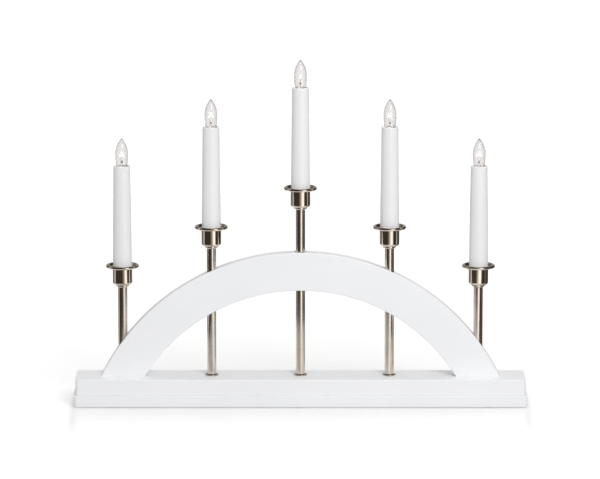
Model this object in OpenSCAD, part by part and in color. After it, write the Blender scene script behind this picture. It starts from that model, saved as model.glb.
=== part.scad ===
// Table candelabrum with five electric candles on tubes, a flat arch and a two-layer wooden base.
// X runs along the base, Y from front to back, Z up. The origin is under the middle of the base,
// on the surface that the felt pads stand on.

/* [Base] */
// Length of the upper board
upper_length = 491; // [480:1:520]
// Depth of the upper board, front to back
upper_depth = 50; // [46:1:60]
// Thickness of the upper board
upper_thick = 18; // [17:0.5:22]
// Thickness of the lower board
lower_thick = 12; // [10:0.5:16]
// How far the lower board stands out past the upper board, on each side
lower_ledge = 2; // [1:0.5:6]
// Radius of the upright corners of both boards
corner_radius = 4; // [2:0.5:8]
// How far the felt pads stand out under the base
pad_proud = 1; // [0.5:0.5:2]

/* [Arch] */
// Outer radius of the arch
arch_outer = 241; // [236:1:246]
// Inner radius of the arch
arch_inner = 199; // [194:1:204]
// Depth of the centre of the arch's circles below the top of the base
arch_drop = 103.5; // [100:0.5:108]
// Thickness of the arch, front to back
arch_thick = 16; // [15:0.5:24]

/* [Tubes] */
// Distance between neighbouring tubes
pitch = 97; // [96:0.5:98]
// Outer diameter of a tube
tube_dia = 10; // [9:0.5:10]
// Bore of a tube, for its two leads
tube_bore = 8; // [7:0.5:8]
// Diameter of the small flange around a tube on the base
flange_dia = 14.5; // [13:0.5:18]
// Thickness of that flange
flange_thick = 2; // [1.5:0.5:3]

/* [Cups] */
// Height of the rim of the two outer cups above the top of the base
rim_low = 123.5; // [115:0.5:130]
// How much higher each cup is than its neighbour, towards the middle
rim_step = 43; // [36:1:50]
// Diameter over the rolled rim
rim_dia = 36; // [34:1:44]
// Outer diameter of the straight body of a cup
cup_dia = 21.2; // [21:0.1:22]
// Height of a cup, rim to underside
cup_height = 22.3; // [21:0.1:26]
// Thickness of the metal of a cup
cup_wall = 0.8; // [0.6:0.1:1]
// Radius of the corner under the body
cup_corner = 3; // [2:0.5:4]

/* [Candles] */
// Height of a sleeve above the rim of its cup
sleeve_height = 109; // [100:1:120]
// Diameter of a sleeve at its foot
sleeve_foot_dia = 20.6; // [20.4:0.1:21]
// Diameter of a sleeve at its mouth
sleeve_top_dia = 18.2; // [18.2:0.1:19]
// Height of a bulb's tip above the mouth of its sleeve
bulb_height = 30; // [28:1:34]
// Largest diameter of a bulb's glass
bulb_dia = 14; // [13:0.1:14]

/* [Hidden] */
$fn = 64;
eps = 0.01;
LAMPS = 5;

// Heights along the base
pad_thick = 2;
lower_z = pad_proud;
upper_z = lower_z + lower_thick;
top_z = upper_z + upper_thick;

// Points along an arc about a centre, between two angles
function arc(centre, radius, from, to, steps) =
    [for (i = [0 : steps]) let (a = from + (to - from) * i / steps) centre + radius * [cos(a), sin(a)]];

// Lamp places: the middle lamp is number 3
function lamp_x(n) = (n - 3) * pitch;
function rim_z(n) = top_z + rim_low + (2 - abs(n - 3)) * rim_step;
function mouth_z(n) = rim_z(n) + sleeve_height;

// Groove for the wiring, in the underside of the upper board
groove_width = 14;
groove_depth = 9;
groove_end = 2 * pitch + 14;
groove_roof = upper_z + groove_depth;

// Tube fixings under the upper board
seat_dia = 22;
hole_dia = tube_dia + 0.4;
washer_thick = 1;
washer_dia = 20;
nut_thick = 3;
nut_flats = 14;
tube_foot_z = groove_roof - 5;

// Inside of a cup, heights measured down from its rim
dish_floor = 2;
collar_thick = 2.5;
collar_dia = 14;
dish_metal = 1.4;
seat_width = 0.2;
cup_floor = cup_height - cup_wall;
tube_rise = 6;
tube_end = cup_floor - tube_rise;
riser_foot = cup_floor - nut_thick;
rim_lip = 1.7;

// Sleeve
sleeve_wall = 1.5;
sleeve_lip = 1;
spigot_dia = 18.8;
spigot_wall = 1.3;
spigot_end = 14;
foot_ledge = 0.7;
rest_gap = 0.05;

// Lamp holder and screw shell, heights measured down from the sleeve's mouth
holder_dia = 14;
holder_top = 4;
holder_floor = 20;
holder_foot = 28;
riser_top = 22;
riser_dia = 12.4;
shell_dia = 10.6;
shell_bore = 9.66;
shell_top = 5;
shell_foot = 17;
cap_dia = 9.5;
cap_foot = 16.5;
tip_foot = 18.5;
tip_stud = 0.5;
contact_length = 8;
contact_width = 3;
contact_thick = 0.4;

// Bulb glass: widest point above the mouth, and the thickness of the glass
bulb_widest = 13;
glass_thick = 0.6;
neck_radius = 4.7;

// Radius of the glass at a height above the sleeve's mouth: an ogive above the widest point,
// a long flat curve below it, and a cone into the cap
ogive = (pow(bulb_dia / 2 - 0.5, 2) + pow(bulb_height - bulb_widest, 2)) / (bulb_dia - 1);
belly = 90;
function glass_radius(h) =
    h > bulb_widest ? bulb_dia / 2 - ogive + sqrt(pow(ogive, 2) - pow(h - bulb_widest, 2))
    : h >= 0 ? bulb_dia / 2 - belly + sqrt(pow(belly, 2) - pow(h - bulb_widest, 2))
    : neck_radius + (glass_radius(0) - neck_radius) * (1 + h / shell_top);
glass_steps = [-shell_top, 0, for (h = [4 : 3 : bulb_height - 2]) h, bulb_height - 0.6, bulb_height];

// Filament: heights above the mouth, and how far each bulb happens to be turned
bead_z = 4.3;
bead_dia = 2.6;
arc_z = 10;
arc_radius = 2.3;
lead_offset = 1;
lead_wire = 0.5;
filament_wire = 0.4;
pinch_dia = 0.9;
lead_turns = [25, 15, 90, 45, 0];

// Inlet for the flex, in the back edge of the upper board
inlet_x = 1.5 * pitch;
inlet_z = top_z - 11;
inlet_hole = 9.5;
inlet_bore = 6.4;
inlet_flange = 13;
inlet_proud = 1.5;
inlet_inner_y = 9;

// Pocket and block where the flex is joined
block_x = inlet_x - 24;
block_y = 12.5;
block_z = upper_z + 0.3;
block_size = [24, 9, 7];
block_screw_dia = 3.4;
block_screw_depth = 3;
block_front = block_y - block_size.y / 2;
block_entry_dia = 2.4;
block_entry_depth = 4;
pocket_size = [30, 13, groove_depth];

// Screws
screw_dia = 3.5;
screw_head = 7;
countersink = (screw_head - screw_dia) / 2;
screw_length = 22;
arch_screw_dia = 4;
arch_screw_length = 25;
arch_screw_x = 2 * pitch - 16;
end_screw_x = 228;
screw_y = 16;
screw_places = [
    for (x = [-1, 1] * end_screw_x) [x, 0],
    for (x = [-0.5, 0.5] * pitch, y = [-1, 1] * screw_y) [x, y]
];
slot_width = 0.8;
slot_depth = 1.2;
point_dia = 0.6;

// Felt pads
pad_dia = 16;
pad_x = 205;
pad_y = 16;
pad_places = [for (x = [-1, 0, 1] * pad_x, y = [-1, 1] * pad_y) [x, y]];

// Wiring
lead_dia = 1.8;
lead_gap = 1.6;
run_z = upper_z + 1.5;
return_y = 4.5;
block_lead_z = upper_z + 5;

WHITE = [0.94, 0.94, 0.95];
NICKEL = [0.66, 0.62, 0.57];
STEEL = [0.72, 0.72, 0.72];
BRASS = [0.8, 0.66, 0.36];

// ---- shared shapes ----

module tube(outer, bore, z0, z1) {
    translate([0, 0, z0])
        difference() {
            cylinder(d = outer, h = z1 - z0);
            translate([0, 0, -eps]) cylinder(d = bore, h = z1 - z0 + 2 * eps);
        }
}

module nut(bore, z0) {
    translate([0, 0, z0])
        difference() {
            cylinder(d = nut_flats / cos(30), h = nut_thick, $fn = 6);
            translate([0, 0, -eps]) cylinder(d = bore, h = nut_thick + 2 * eps);
        }
}

// A board with round upright corners, standing on z = 0
module board(length, depth, thick) {
    linear_extrude(thick) {
        square([length - 2 * corner_radius, depth], center = true);
        square([length, depth - 2 * corner_radius], center = true);
        for (x = [-1, 1] * (length / 2 - corner_radius), y = [-1, 1] * (depth / 2 - corner_radius))
            translate([x, y]) circle(corner_radius);
    }
}

// A countersunk wood screw with its head's top at z = 0, pointing up
module wood_screw(dia, head, length) {
    difference() {
        union() {
            cylinder(d1 = head, d2 = dia, h = (head - dia) / 2);
            cylinder(d = dia, h = length - dia);
            translate([0, 0, length - dia]) cylinder(d1 = dia, d2 = point_dia, h = dia);
        }
        for (turn = [0, 90])
            rotate(turn)
                translate([-head / 4, -slot_width / 2, -eps]) cube([head / 2, slot_width, slot_depth]);
    }
}

// A pan head screw that hangs its head below z = 0 and points up
module pan_screw(dia, length) {
    difference() {
        union() {
            cylinder(d = dia, h = length - dia);
            translate([0, 0, length - dia]) cylinder(d1 = dia, d2 = point_dia, h = dia);
            translate([0, 0, -dia / 2]) cylinder(d = 2 * dia, h = dia / 2);
        }
        for (turn = [0, 90])
            rotate(turn)
                translate([-dia / 2, -slot_width / 2, -dia / 2 - eps])
                    cube([dia, slot_width, slot_depth]);
    }
}

// A wire through a list of points
module wire(points) {
    for (i = [0 : len(points) - 2]) {
        step = points[i + 1] - points[i];
        level = norm([step.x, step.y]);
        translate(points[i])
            rotate([0, atan2(level, step.z), atan2(step.y, step.x)])
                cylinder(d = lead_dia, h = norm(step), $fn = 24);
        translate(points[i + 1]) sphere(d = lead_dia, $fn = 24);
    }
}

// ---- base ----

module lower_board() {
    color(WHITE)
        difference() {
            translate([0, 0, lower_z])
                board(upper_length + 2 * lower_ledge, upper_depth + 2 * lower_ledge, lower_thick);
            for (p = screw_places)
                translate([p.x, p.y, lower_z - eps]) {
                    cylinder(d = screw_dia, h = lower_thick + 1);
                    cylinder(d1 = screw_head + 2 * eps, d2 = screw_dia, h = countersink + eps);
                }
            for (p = pad_places)
                translate([p.x, p.y, lower_z - eps])
                    cylinder(d = pad_dia, h = pad_thick - pad_proud + eps);
        }
}

module upper_board() {
    color(WHITE)
        difference() {
            translate([0, 0, upper_z]) board(upper_length, upper_depth, upper_thick);
            translate([-groove_end, -groove_width / 2, upper_z - eps])
                cube([2 * groove_end, groove_width, groove_depth + eps]);
            translate([block_x - pocket_size.x / 2, block_y - pocket_size.y / 2, upper_z - eps])
                cube(pocket_size);
            for (n = [1 : LAMPS])
                translate([lamp_x(n), 0, upper_z - eps]) {
                    cylinder(d = seat_dia, h = groove_depth + eps);
                    cylinder(d = hole_dia, h = upper_thick + 1);
                }
            translate([inlet_x, 0, inlet_z])
                rotate([-90, 0, 0]) cylinder(d = inlet_hole, h = upper_depth);
            for (p = screw_places)
                translate([p.x, p.y, upper_z - eps])
                    cylinder(d = screw_dia, h = screw_length - lower_thick);
            for (side = [-1, 1])
                translate([side * arch_screw_x, 0, upper_z])
                    cylinder(d = arch_screw_dia, h = upper_thick + 1);
        }
}

module board_screws() {
    color(STEEL)
        for (p = screw_places)
            translate([p.x, p.y, lower_z]) wood_screw(screw_dia, screw_head, screw_length);
}

module arch_screws() {
    color(STEEL)
        for (side = [-1, 1])
            translate([side * arch_screw_x, 0, groove_roof]) pan_screw(arch_screw_dia, arch_screw_length);
}

module felt_pads() {
    color([0.55, 0.55, 0.55])
        for (p = pad_places) translate([p.x, p.y, 0]) cylinder(d = pad_dia, h = pad_thick);
}

module cord_grommet() {
    color([0.92, 0.92, 0.92])
        translate([inlet_x, inlet_inner_y, inlet_z])
            rotate([-90, 0, 0]) {
                back = upper_depth / 2 - inlet_inner_y;
                difference() {
                    union() {
                        cylinder(d = inlet_hole, h = back);
                        translate([0, 0, back]) cylinder(d = inlet_flange, h = inlet_proud);
                    }
                    translate([0, 0, -eps]) cylinder(d = inlet_bore, h = back + inlet_proud + 2 * eps);
                }
            }
}

module terminal_block() {
    color([0.9, 0.88, 0.82])
        difference() {
            translate([block_x - block_size.x / 2, block_y - block_size.y / 2, block_z]) cube(block_size);
            for (side = [-1, 1]) {
                translate([block_x + side * block_size.x / 4, block_y, block_z - eps])
                    cylinder(d = block_screw_dia, h = block_screw_depth);
                translate([block_x + side * block_size.x / 4, block_front - eps, block_lead_z])
                    rotate([-90, 0, 0]) cylinder(d = block_entry_dia, h = block_entry_depth);
            }
        }
}

module wiring() {
    end_y = block_front + block_entry_depth / 2;
    color([0.85, 0.83, 0.75]) {
        // The series run: out of each tube and into the next
        for (n = [1 : LAMPS - 1]) {
            from = lamp_x(n) + lead_gap;
            to = lamp_x(n + 1) - lead_gap;
            wire([[from, 0, mouth_z(n) - riser_top], [from, 0, run_z], [to, 0, run_z],
                [to, 0, mouth_z(n + 1) - riser_top]]);
        }
        // The two ends of the run go back to the block
        first = lamp_x(1) - lead_gap;
        last = lamp_x(LAMPS) + lead_gap;
        near = block_x - block_size.x / 4;
        far = block_x + block_size.x / 4;
        wire([[first, 0, mouth_z(1) - riser_top], [first, 0, run_z], [first, -return_y, run_z],
            [near, -return_y, run_z], [near, -return_y, block_lead_z], [near, end_y, block_lead_z]]);
        wire([[last, 0, mouth_z(LAMPS) - riser_top], [last, 0, run_z], [last, return_y, run_z],
            [far, return_y, run_z], [far, return_y, block_lead_z], [far, end_y, block_lead_z]]);
    }
}

// ---- arch ----

module arch() {
    color(WHITE)
        difference() {
            translate([0, arch_thick / 2, top_z])
                rotate([90, 0, 0])
                    linear_extrude(arch_thick)
                        difference() {
                            translate([0, -arch_drop]) circle(arch_outer, $fn = 180);
                            translate([0, -arch_drop]) circle(arch_inner, $fn = 180);
                            translate([-arch_outer, -2 * arch_outer]) square(2 * arch_outer);
                        }
            for (n = [1 : LAMPS])
                translate([lamp_x(n), 0, top_z - 1]) cylinder(d = hole_dia, h = arch_outer);
            for (side = [-1, 1])
                translate([side * arch_screw_x, 0, top_z - 1])
                    cylinder(d = arch_screw_dia, h = arch_screw_length - (top_z - groove_roof) + 1);
        }
}

// ---- tubes ----

module lamp_tube(n) {
    color(NICKEL)
        translate([lamp_x(n), 0, 0]) tube(tube_dia, tube_bore, tube_foot_z, rim_z(n) - tube_end);
}

module tube_flanges() {
    color(NICKEL)
        for (n = [2 : LAMPS - 1])
            translate([lamp_x(n), 0, 0]) tube(flange_dia, tube_dia, top_z, top_z + flange_thick);
}

module tube_washers() {
    color(STEEL)
        for (n = [1 : LAMPS])
            translate([lamp_x(n), 0, 0])
                tube(washer_dia, tube_dia, groove_roof - washer_thick, groove_roof);
}

module tube_nuts() {
    color(STEEL)
        for (n = [1 : LAMPS])
            translate([lamp_x(n), 0, 0]) nut(tube_dia, groove_roof - washer_thick - nut_thick);
}

// ---- cups ----

// Half section of a cup, rim at y = 0: the floor, the straight body, the dish and the rolled rim
module cup_section() {
    body = cup_dia / 2;
    bore = body - cup_wall;
    lip_x = rim_dia / 2 - rim_lip;
    inner_corner = cup_corner - cup_wall;
    polygon([
        [tube_dia / 2, -cup_floor],
        [tube_dia / 2, -cup_height],
        each arc([body - cup_corner, cup_corner - cup_height], cup_corner, -90, 0, 6),
        [body, -dish_floor - dish_metal],
        each arc([lip_x, -rim_lip], rim_lip, -90, 190, 20),
        [body + seat_width, -dish_floor],
        [bore, -dish_floor],
        each arc([bore - inner_corner, inner_corner - cup_floor], inner_corner, 0, -90, 6)
    ]);
}

module cup(n) {
    color(NICKEL)
        translate([lamp_x(n), 0, rim_z(n)]) rotate_extrude() cup_section();
}

module cup_collars() {
    color(NICKEL)
        for (n = [1 : LAMPS])
            translate([lamp_x(n), 0, rim_z(n) - cup_height])
                tube(collar_dia, tube_dia, -collar_thick, 0);
}

module cup_nuts() {
    color(STEEL)
        for (n = [1 : LAMPS]) translate([lamp_x(n), 0, 0]) nut(tube_dia, rim_z(n) - cup_floor);
}

// ---- lamp holders ----

module riser_tubes() {
    color([0.9, 0.9, 0.88])
        for (n = [1 : LAMPS])
            translate([lamp_x(n), 0, 0])
                tube(riser_dia, tube_dia, rim_z(n) - riser_foot, mouth_z(n) - riser_top);
}

module lamp_holder(n) {
    color([0.93, 0.93, 0.9])
        translate([lamp_x(n), 0, mouth_z(n)])
            difference() {
                translate([0, 0, -holder_foot]) cylinder(d = holder_dia, h = holder_foot - holder_top);
                translate([0, 0, -holder_floor]) cylinder(d = shell_dia, h = holder_floor);
                translate([0, 0, -holder_foot - eps])
                    cylinder(d = riser_dia, h = holder_foot - riser_top + eps);
                for (side = [-1, 1])
                    translate([side * lead_gap, 0, -riser_top - eps])
                        cylinder(d = lead_dia, h = riser_top - holder_floor + 2 * eps);
            }
}

module screw_shells() {
    color(BRASS)
        for (n = [1 : LAMPS])
            translate([lamp_x(n), 0, mouth_z(n)]) tube(shell_dia, shell_bore, -shell_foot, -shell_top);
}

module centre_contacts() {
    color(BRASS)
        for (n = [1 : LAMPS])
            translate([lamp_x(n), 0, mouth_z(n) - holder_floor]) {
                translate([-contact_length / 2, -contact_width / 2, 0])
                    cube([contact_length, contact_width, contact_thick]);
                cylinder(d = contact_width, h = holder_floor - tip_foot - rest_gap);
            }
}

// ---- candles ----

module candle_sleeve(n) {
    foot = sleeve_foot_dia / 2;
    top = sleeve_top_dia / 2;
    spigot = spigot_dia / 2;
    rest = rest_gap - dish_floor;
    color([0.95, 0.95, 0.94])
        translate([lamp_x(n), 0, rim_z(n)])
            rotate_extrude()
                polygon([
                    [spigot - spigot_wall, -spigot_end],
                    [spigot, -spigot_end],
                    [spigot, rest],
                    [foot, rest],
                    [top, sleeve_height - sleeve_lip],
                    for (a = [15 : 15 : 90])
                        [top - sleeve_lip * (1 - cos(a)), sleeve_height - sleeve_lip * (1 - sin(a))],
                    [top - sleeve_wall, sleeve_height],
                    [foot - sleeve_wall - foot_ledge, rest]
                ]);
}

module bulb_tip(n) {
    color([0.15, 0.15, 0.17])
        translate([lamp_x(n), 0, mouth_z(n) - tip_foot]) {
            cylinder(d1 = 2.4, d2 = 3, h = tip_stud + eps);
            translate([0, 0, tip_stud])
                cylinder(d1 = 4, d2 = 8.4, h = tip_foot - cap_foot - tip_stud - rest_gap);
        }
}

module bulb_cap(n) {
    color(NICKEL)
        translate([lamp_x(n), 0, mouth_z(n) - cap_foot]) cylinder(d = cap_dia, h = cap_foot - shell_top);
}

module bulb_glass(n) {
    inner_end = bulb_height - 2 * glass_thick;
    // Inside of the glass, a little lower than the outside from the neck up
    inner = [for (h = glass_steps) [glass_radius(h) - glass_thick, h - (h > 0 ? glass_thick / 2 : 0)]];
    color([0.9, 0.93, 0.95, 0.35])
        translate([lamp_x(n), 0, mouth_z(n)])
            rotate_extrude()
                polygon([
                    [0, -shell_top],
                    for (h = glass_steps) [glass_radius(h), h],
                    [0, bulb_height],
                    [0, inner_end],
                    for (i = [len(glass_steps) - 3 : -1 : 1]) inner[i],
                    [neck_radius - glass_thick, glass_thick - shell_top],
                    [0, glass_thick - shell_top]
                ]);
}

// A ball whose poles point to the front and back, clear of the wires that enter it
module ball(dia) {
    rotate([90, 0, 0]) sphere(d = dia, $fn = 24);
}

module filament(n) {
    foot = glass_thick - shell_top;
    rise = arc_z - bead_z;
    lean = atan2(arc_radius - lead_offset, rise);
    color([0.35, 0.32, 0.3])
        translate([lamp_x(n), 0, mouth_z(n)])
            rotate(lead_turns[n - 1]) {
                translate([0, 0, bead_z]) ball(bead_dia);
                for (side = [-1, 1]) {
                    translate([side * lead_offset, 0, foot])
                        cylinder(d = lead_wire, h = bead_z - foot, $fn = 16);
                    translate([side * lead_offset, 0, bead_z])
                        rotate([0, side * lean, 0])
                            cylinder(d = lead_wire, h = rise / cos(lean), $fn = 16);
                }
                translate([0, 0, arc_z])
                    rotate([90, 0, 0])
                        rotate_extrude(angle = 180)
                            translate([arc_radius, 0]) circle(d = filament_wire, $fn = 16);
                // The leads' ends, pinched over the ends of the filament
                for (side = [-1, 1])
                    translate([side * arc_radius, 0, arc_z]) ball(pinch_dia);
            }
}

// ---- the nodes ----

lower_board();
upper_board();
arch();
board_screws();
arch_screws();
felt_pads();
cord_grommet();
terminal_block();
wiring();
tube_flanges();
tube_washers();
tube_nuts();
cup_collars();
cup_nuts();
riser_tubes();
screw_shells();
centre_contacts();
for (n = [1 : LAMPS]) {
    lamp_tube(n);
    cup(n);
    lamp_holder(n);
    candle_sleeve(n);
    bulb_tip(n);
    bulb_cap(n);
    bulb_glass(n);
    filament(n);
}
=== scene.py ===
"""Electric candelabrum: painted base and arch, nickel tubes and cups, candle sleeves and screw bulbs."""

import math
from collections import namedtuple
from random import Random

import bmesh
import bpy
from bpy.props import FloatProperty, FloatVectorProperty, IntProperty, PointerProperty
from mathutils import Matrix, Vector


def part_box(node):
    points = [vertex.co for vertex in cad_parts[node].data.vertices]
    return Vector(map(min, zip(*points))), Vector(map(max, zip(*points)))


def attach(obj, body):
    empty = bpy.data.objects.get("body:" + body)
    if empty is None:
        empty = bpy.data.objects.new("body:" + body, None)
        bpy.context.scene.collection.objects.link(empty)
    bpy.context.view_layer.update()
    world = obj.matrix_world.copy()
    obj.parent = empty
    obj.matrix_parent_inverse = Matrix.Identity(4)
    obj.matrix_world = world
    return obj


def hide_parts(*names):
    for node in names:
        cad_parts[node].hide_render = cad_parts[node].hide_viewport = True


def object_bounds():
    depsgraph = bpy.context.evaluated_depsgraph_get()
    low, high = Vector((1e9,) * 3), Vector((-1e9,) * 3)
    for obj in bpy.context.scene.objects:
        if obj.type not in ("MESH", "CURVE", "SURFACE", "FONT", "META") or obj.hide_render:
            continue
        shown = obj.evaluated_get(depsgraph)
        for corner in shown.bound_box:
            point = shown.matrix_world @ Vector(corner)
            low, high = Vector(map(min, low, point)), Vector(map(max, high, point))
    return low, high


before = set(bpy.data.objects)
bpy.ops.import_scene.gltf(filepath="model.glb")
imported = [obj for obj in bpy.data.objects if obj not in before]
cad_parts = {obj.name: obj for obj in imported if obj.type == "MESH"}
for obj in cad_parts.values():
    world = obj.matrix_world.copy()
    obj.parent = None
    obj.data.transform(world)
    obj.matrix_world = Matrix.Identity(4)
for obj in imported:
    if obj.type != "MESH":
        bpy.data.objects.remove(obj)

CAD_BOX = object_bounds()

bl_info = {
    "name": "Electric candelabrum",
    "version": (1, 0, 0),
    "blender": (4, 5, 0),
    "location": "View3D > Sidebar > Candelabrum",
    "description": "Builds the finished pieces of a table candelabrum around its solid model",
    "category": "Add Mesh",
}

MM = 0.001
TURN = 2 * math.pi
LAMPS = (1, 2, 3, 4, 5)
# Room between a tube and the metal or plastic that fits on it, and between a tube and the wood
FIT = 0.02 * MM
WOOD_ROOM = 0.2 * MM


# ---- sizes, finishes and studio settings ----


class CandelabrumSizes(bpy.types.PropertyGroup):
    """Sizes of the finished pieces that the solid model doesn't give."""

    board_edge: FloatProperty(
        name="Board edge", description="Rounding of the edges of both boards",
        default=0.6 * MM, min=0.2 * MM, max=3 * MM, unit="LENGTH",
    )
    board_corner: FloatProperty(
        name="Board corner", description="Radius of the upright corners of both boards",
        default=4 * MM, min=2 * MM, max=8 * MM, unit="LENGTH",
    )
    arch_edge: FloatProperty(
        name="Arch edge", description="Rounding of the long edges of the arch",
        default=0.9 * MM, min=0.2 * MM, max=3 * MM, unit="LENGTH",
    )
    arch_band: FloatProperty(
        name="Arch band", description="Width of the band of the arch, seen from the front",
        default=42 * MM, min=30 * MM, max=60 * MM, unit="LENGTH",
    )
    cup_radius: FloatProperty(
        name="Cup radius", description="Outer radius of the straight body of a cup",
        default=10.6 * MM, min=10 * MM, max=12 * MM, unit="LENGTH",
    )
    cup_metal: FloatProperty(
        name="Cup metal", description="Thickness of the metal of a cup",
        default=0.8 * MM, min=0.4 * MM, max=1.2 * MM, unit="LENGTH",
    )
    dish_depth: FloatProperty(
        name="Dish depth", description="How far the dish of a cup lies below its rim",
        default=2 * MM, min=1.5 * MM, max=5 * MM, unit="LENGTH",
    )
    rim_roll: FloatProperty(
        name="Rim roll", description="Radius of the rolled rim of a cup",
        default=1.7 * MM, min=1 * MM, max=2 * MM, unit="LENGTH",
    )
    sleeve_wall: FloatProperty(
        name="Sleeve wall", description="Wall thickness of a candle sleeve at its mouth",
        default=1.5 * MM, min=1 * MM, max=2 * MM, unit="LENGTH",
    )
    glass_wall: FloatProperty(
        name="Glass wall", description="Thickness of the glass of a bulb",
        default=0.5 * MM, min=0.3 * MM, max=0.8 * MM, unit="LENGTH",
    )
    thread_pitch: FloatProperty(
        name="Thread pitch", description="Rise of the bulb's thread in one turn",
        default=1.814 * MM, min=1 * MM, max=3 * MM, unit="LENGTH",
    )
    thread_depth: FloatProperty(
        name="Thread depth", description="Depth of the bulb's rolled thread",
        default=0.4 * MM, min=0.2 * MM, max=0.6 * MM, unit="LENGTH",
    )


class CandelabrumFinish(bpy.types.PropertyGroup):
    """Colours of the finished pieces."""

    paint: FloatVectorProperty(
        name="Paint", description="Colour of the paint on the base and the arch",
        default=(0.86, 0.865, 0.88), size=3, min=0, max=1, subtype="COLOR",
    )
    nickel: FloatVectorProperty(
        name="Nickel", description="Colour of the plating on the tubes and cups",
        default=(0.72, 0.655, 0.575), size=3, min=0, max=1, subtype="COLOR",
    )
    sleeve: FloatVectorProperty(
        name="Sleeve", description="Colour of the candle sleeves",
        default=(0.82, 0.825, 0.83), size=3, min=0, max=1, subtype="COLOR",
    )
    glow: FloatVectorProperty(
        name="Glow", description="Colour of the lit filaments",
        default=(1.0, 0.74, 0.42), size=3, min=0, max=1, subtype="COLOR",
    )
    glow_strength: FloatProperty(
        name="Glow strength", description="Brightness of the lit filaments",
        default=45.0, min=0, max=100,
    )


class CandelabrumStudio(bpy.types.PropertyGroup):
    """Camera, floor and lights."""

    distance: FloatProperty(
        name="Camera distance", description="From the camera to the point it looks at",
        default=4.9, min=1, max=10, unit="LENGTH",
    )
    elevation: FloatProperty(
        name="Camera elevation", description="How far above the horizon the camera stands",
        default=math.radians(10.7), min=0, max=math.radians(80), unit="ROTATION",
    )
    lens: FloatProperty(
        name="Lens", description="Focal length of the camera",
        default=270, min=50, max=400, unit="CAMERA",
    )
    aim_height: FloatProperty(
        name="Aim height", description="Height of the point that the camera looks at",
        default=0.182, min=0, max=0.4, unit="LENGTH",
    )
    floor_glow: FloatProperty(
        name="Floor glow", description="Light that the pale floor gives off by itself",
        default=0.29, min=0, max=2,
    )
    floor_shade: FloatProperty(
        name="Floor shade", description="How much darker the floor is right beside the base",
        default=0.24, min=0, max=1,
    )
    key_power: FloatProperty(
        name="Key light", description="Power of the large light at the front right",
        default=23.5, min=0, max=500, unit="POWER",
    )
    top_power: FloatProperty(
        name="Top light", description="Power of the large light overhead",
        default=2, min=0, max=500, unit="POWER",
    )
    seed: IntProperty(
        name="Seed", description="Seed of everything that is set at random", default=7, min=0,
    )


def sizes():
    return bpy.context.scene.candelabrum_sizes


def finish():
    return bpy.context.scene.candelabrum_finish


def studio():
    return bpy.context.scene.candelabrum_studio


# ---- places, read from the frame ----


Size = namedtuple("Size", "x y z")


class Lamp:
    """Where one candle stands."""

    def __init__(self, number):
        low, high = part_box(f"tube_{number}")
        self.number = number
        self.x = (low.x + high.x) / 2
        self.tube_radius = (high.x - low.x) / 2
        self.tube_foot = low.z
        self.tube_top = high.z
        self.cup_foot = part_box(f"cup_{number}")[0].z
        self.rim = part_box(f"cup_{number}")[1].z
        self.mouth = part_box(f"candle_sleeve_{number}")[1].z
        self.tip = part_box(f"bulb_glass_{number}")[1].z


def solids(node):
    """The box of each separate solid in a node, from left to right."""
    bm = bmesh.new()
    bm.from_mesh(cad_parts[node].data)
    bmesh.ops.remove_doubles(bm, verts=bm.verts, dist=0.001 * MM)
    waiting = set(bm.verts)
    boxes = []
    while waiting:
        group = []
        front = [waiting.pop()]
        while front:
            vert = front.pop()
            group.append(vert.co)
            for edge in vert.link_edges:
                other = edge.other_vert(vert)
                if other in waiting:
                    waiting.remove(other)
                    front.append(other)
        low = Vector([min(co[k] for co in group) for k in range(3)])
        high = Vector([max(co[k] for co in group) for k in range(3)])
        boxes.append((low, high))
    bm.free()
    return sorted(boxes, key=lambda box: (round(box[0].x, 4), round(box[0].y, 4), box[0].z))


def repeated(node):
    """The size of one solid in a node of like solids, and the middle of the foot of each."""
    boxes = solids(node)
    places = [Vector(((low.x + high.x) / 2, (low.y + high.y) / 2, low.z)) for low, high in boxes]
    return Size(*(high - low for low, high in zip(*boxes[0]))), places


# ---- outlines and turned shapes ----


def points(*pairs):
    """Points of an outline, given in millimetres."""
    return [Vector(pair) * MM for pair in pairs]


def rounded(corners, steps=6):
    """A closed outline through (u, v, radius) corners, each rounded by an arc of its own radius."""
    line = []
    for i, (u, v, radius) in enumerate(corners):
        corner = Vector((u, v))
        if radius <= 0:
            line.append(corner)
            continue
        to_last = (Vector(corners[i - 1][:2]) - corner).normalized()
        to_next = (Vector(corners[(i + 1) % len(corners)][:2]) - corner).normalized()
        half = to_last.angle(to_next) / 2
        middle = corner + (to_last + to_next).normalized() * radius / math.sin(half)
        start = corner + to_last * radius / math.tan(half) - middle
        end = corner + to_next * radius / math.tan(half) - middle
        first = math.atan2(start.y, start.x)
        sweep = (math.atan2(end.y, end.x) - first + math.pi) % TURN - math.pi
        for k in range(steps + 1):
            angle = first + sweep * k / steps
            line.append(middle + radius * Vector((math.cos(angle), math.sin(angle))))
    return line


def arc(u, v, radius, first, last, steps):
    """Points of an arc about (u, v), between two angles in degrees."""
    angles = [math.radians(first + (last - first) * k / steps) for k in range(steps + 1)]
    return [Vector((u + radius * math.cos(a), v + radius * math.sin(a))) for a in angles]


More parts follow.
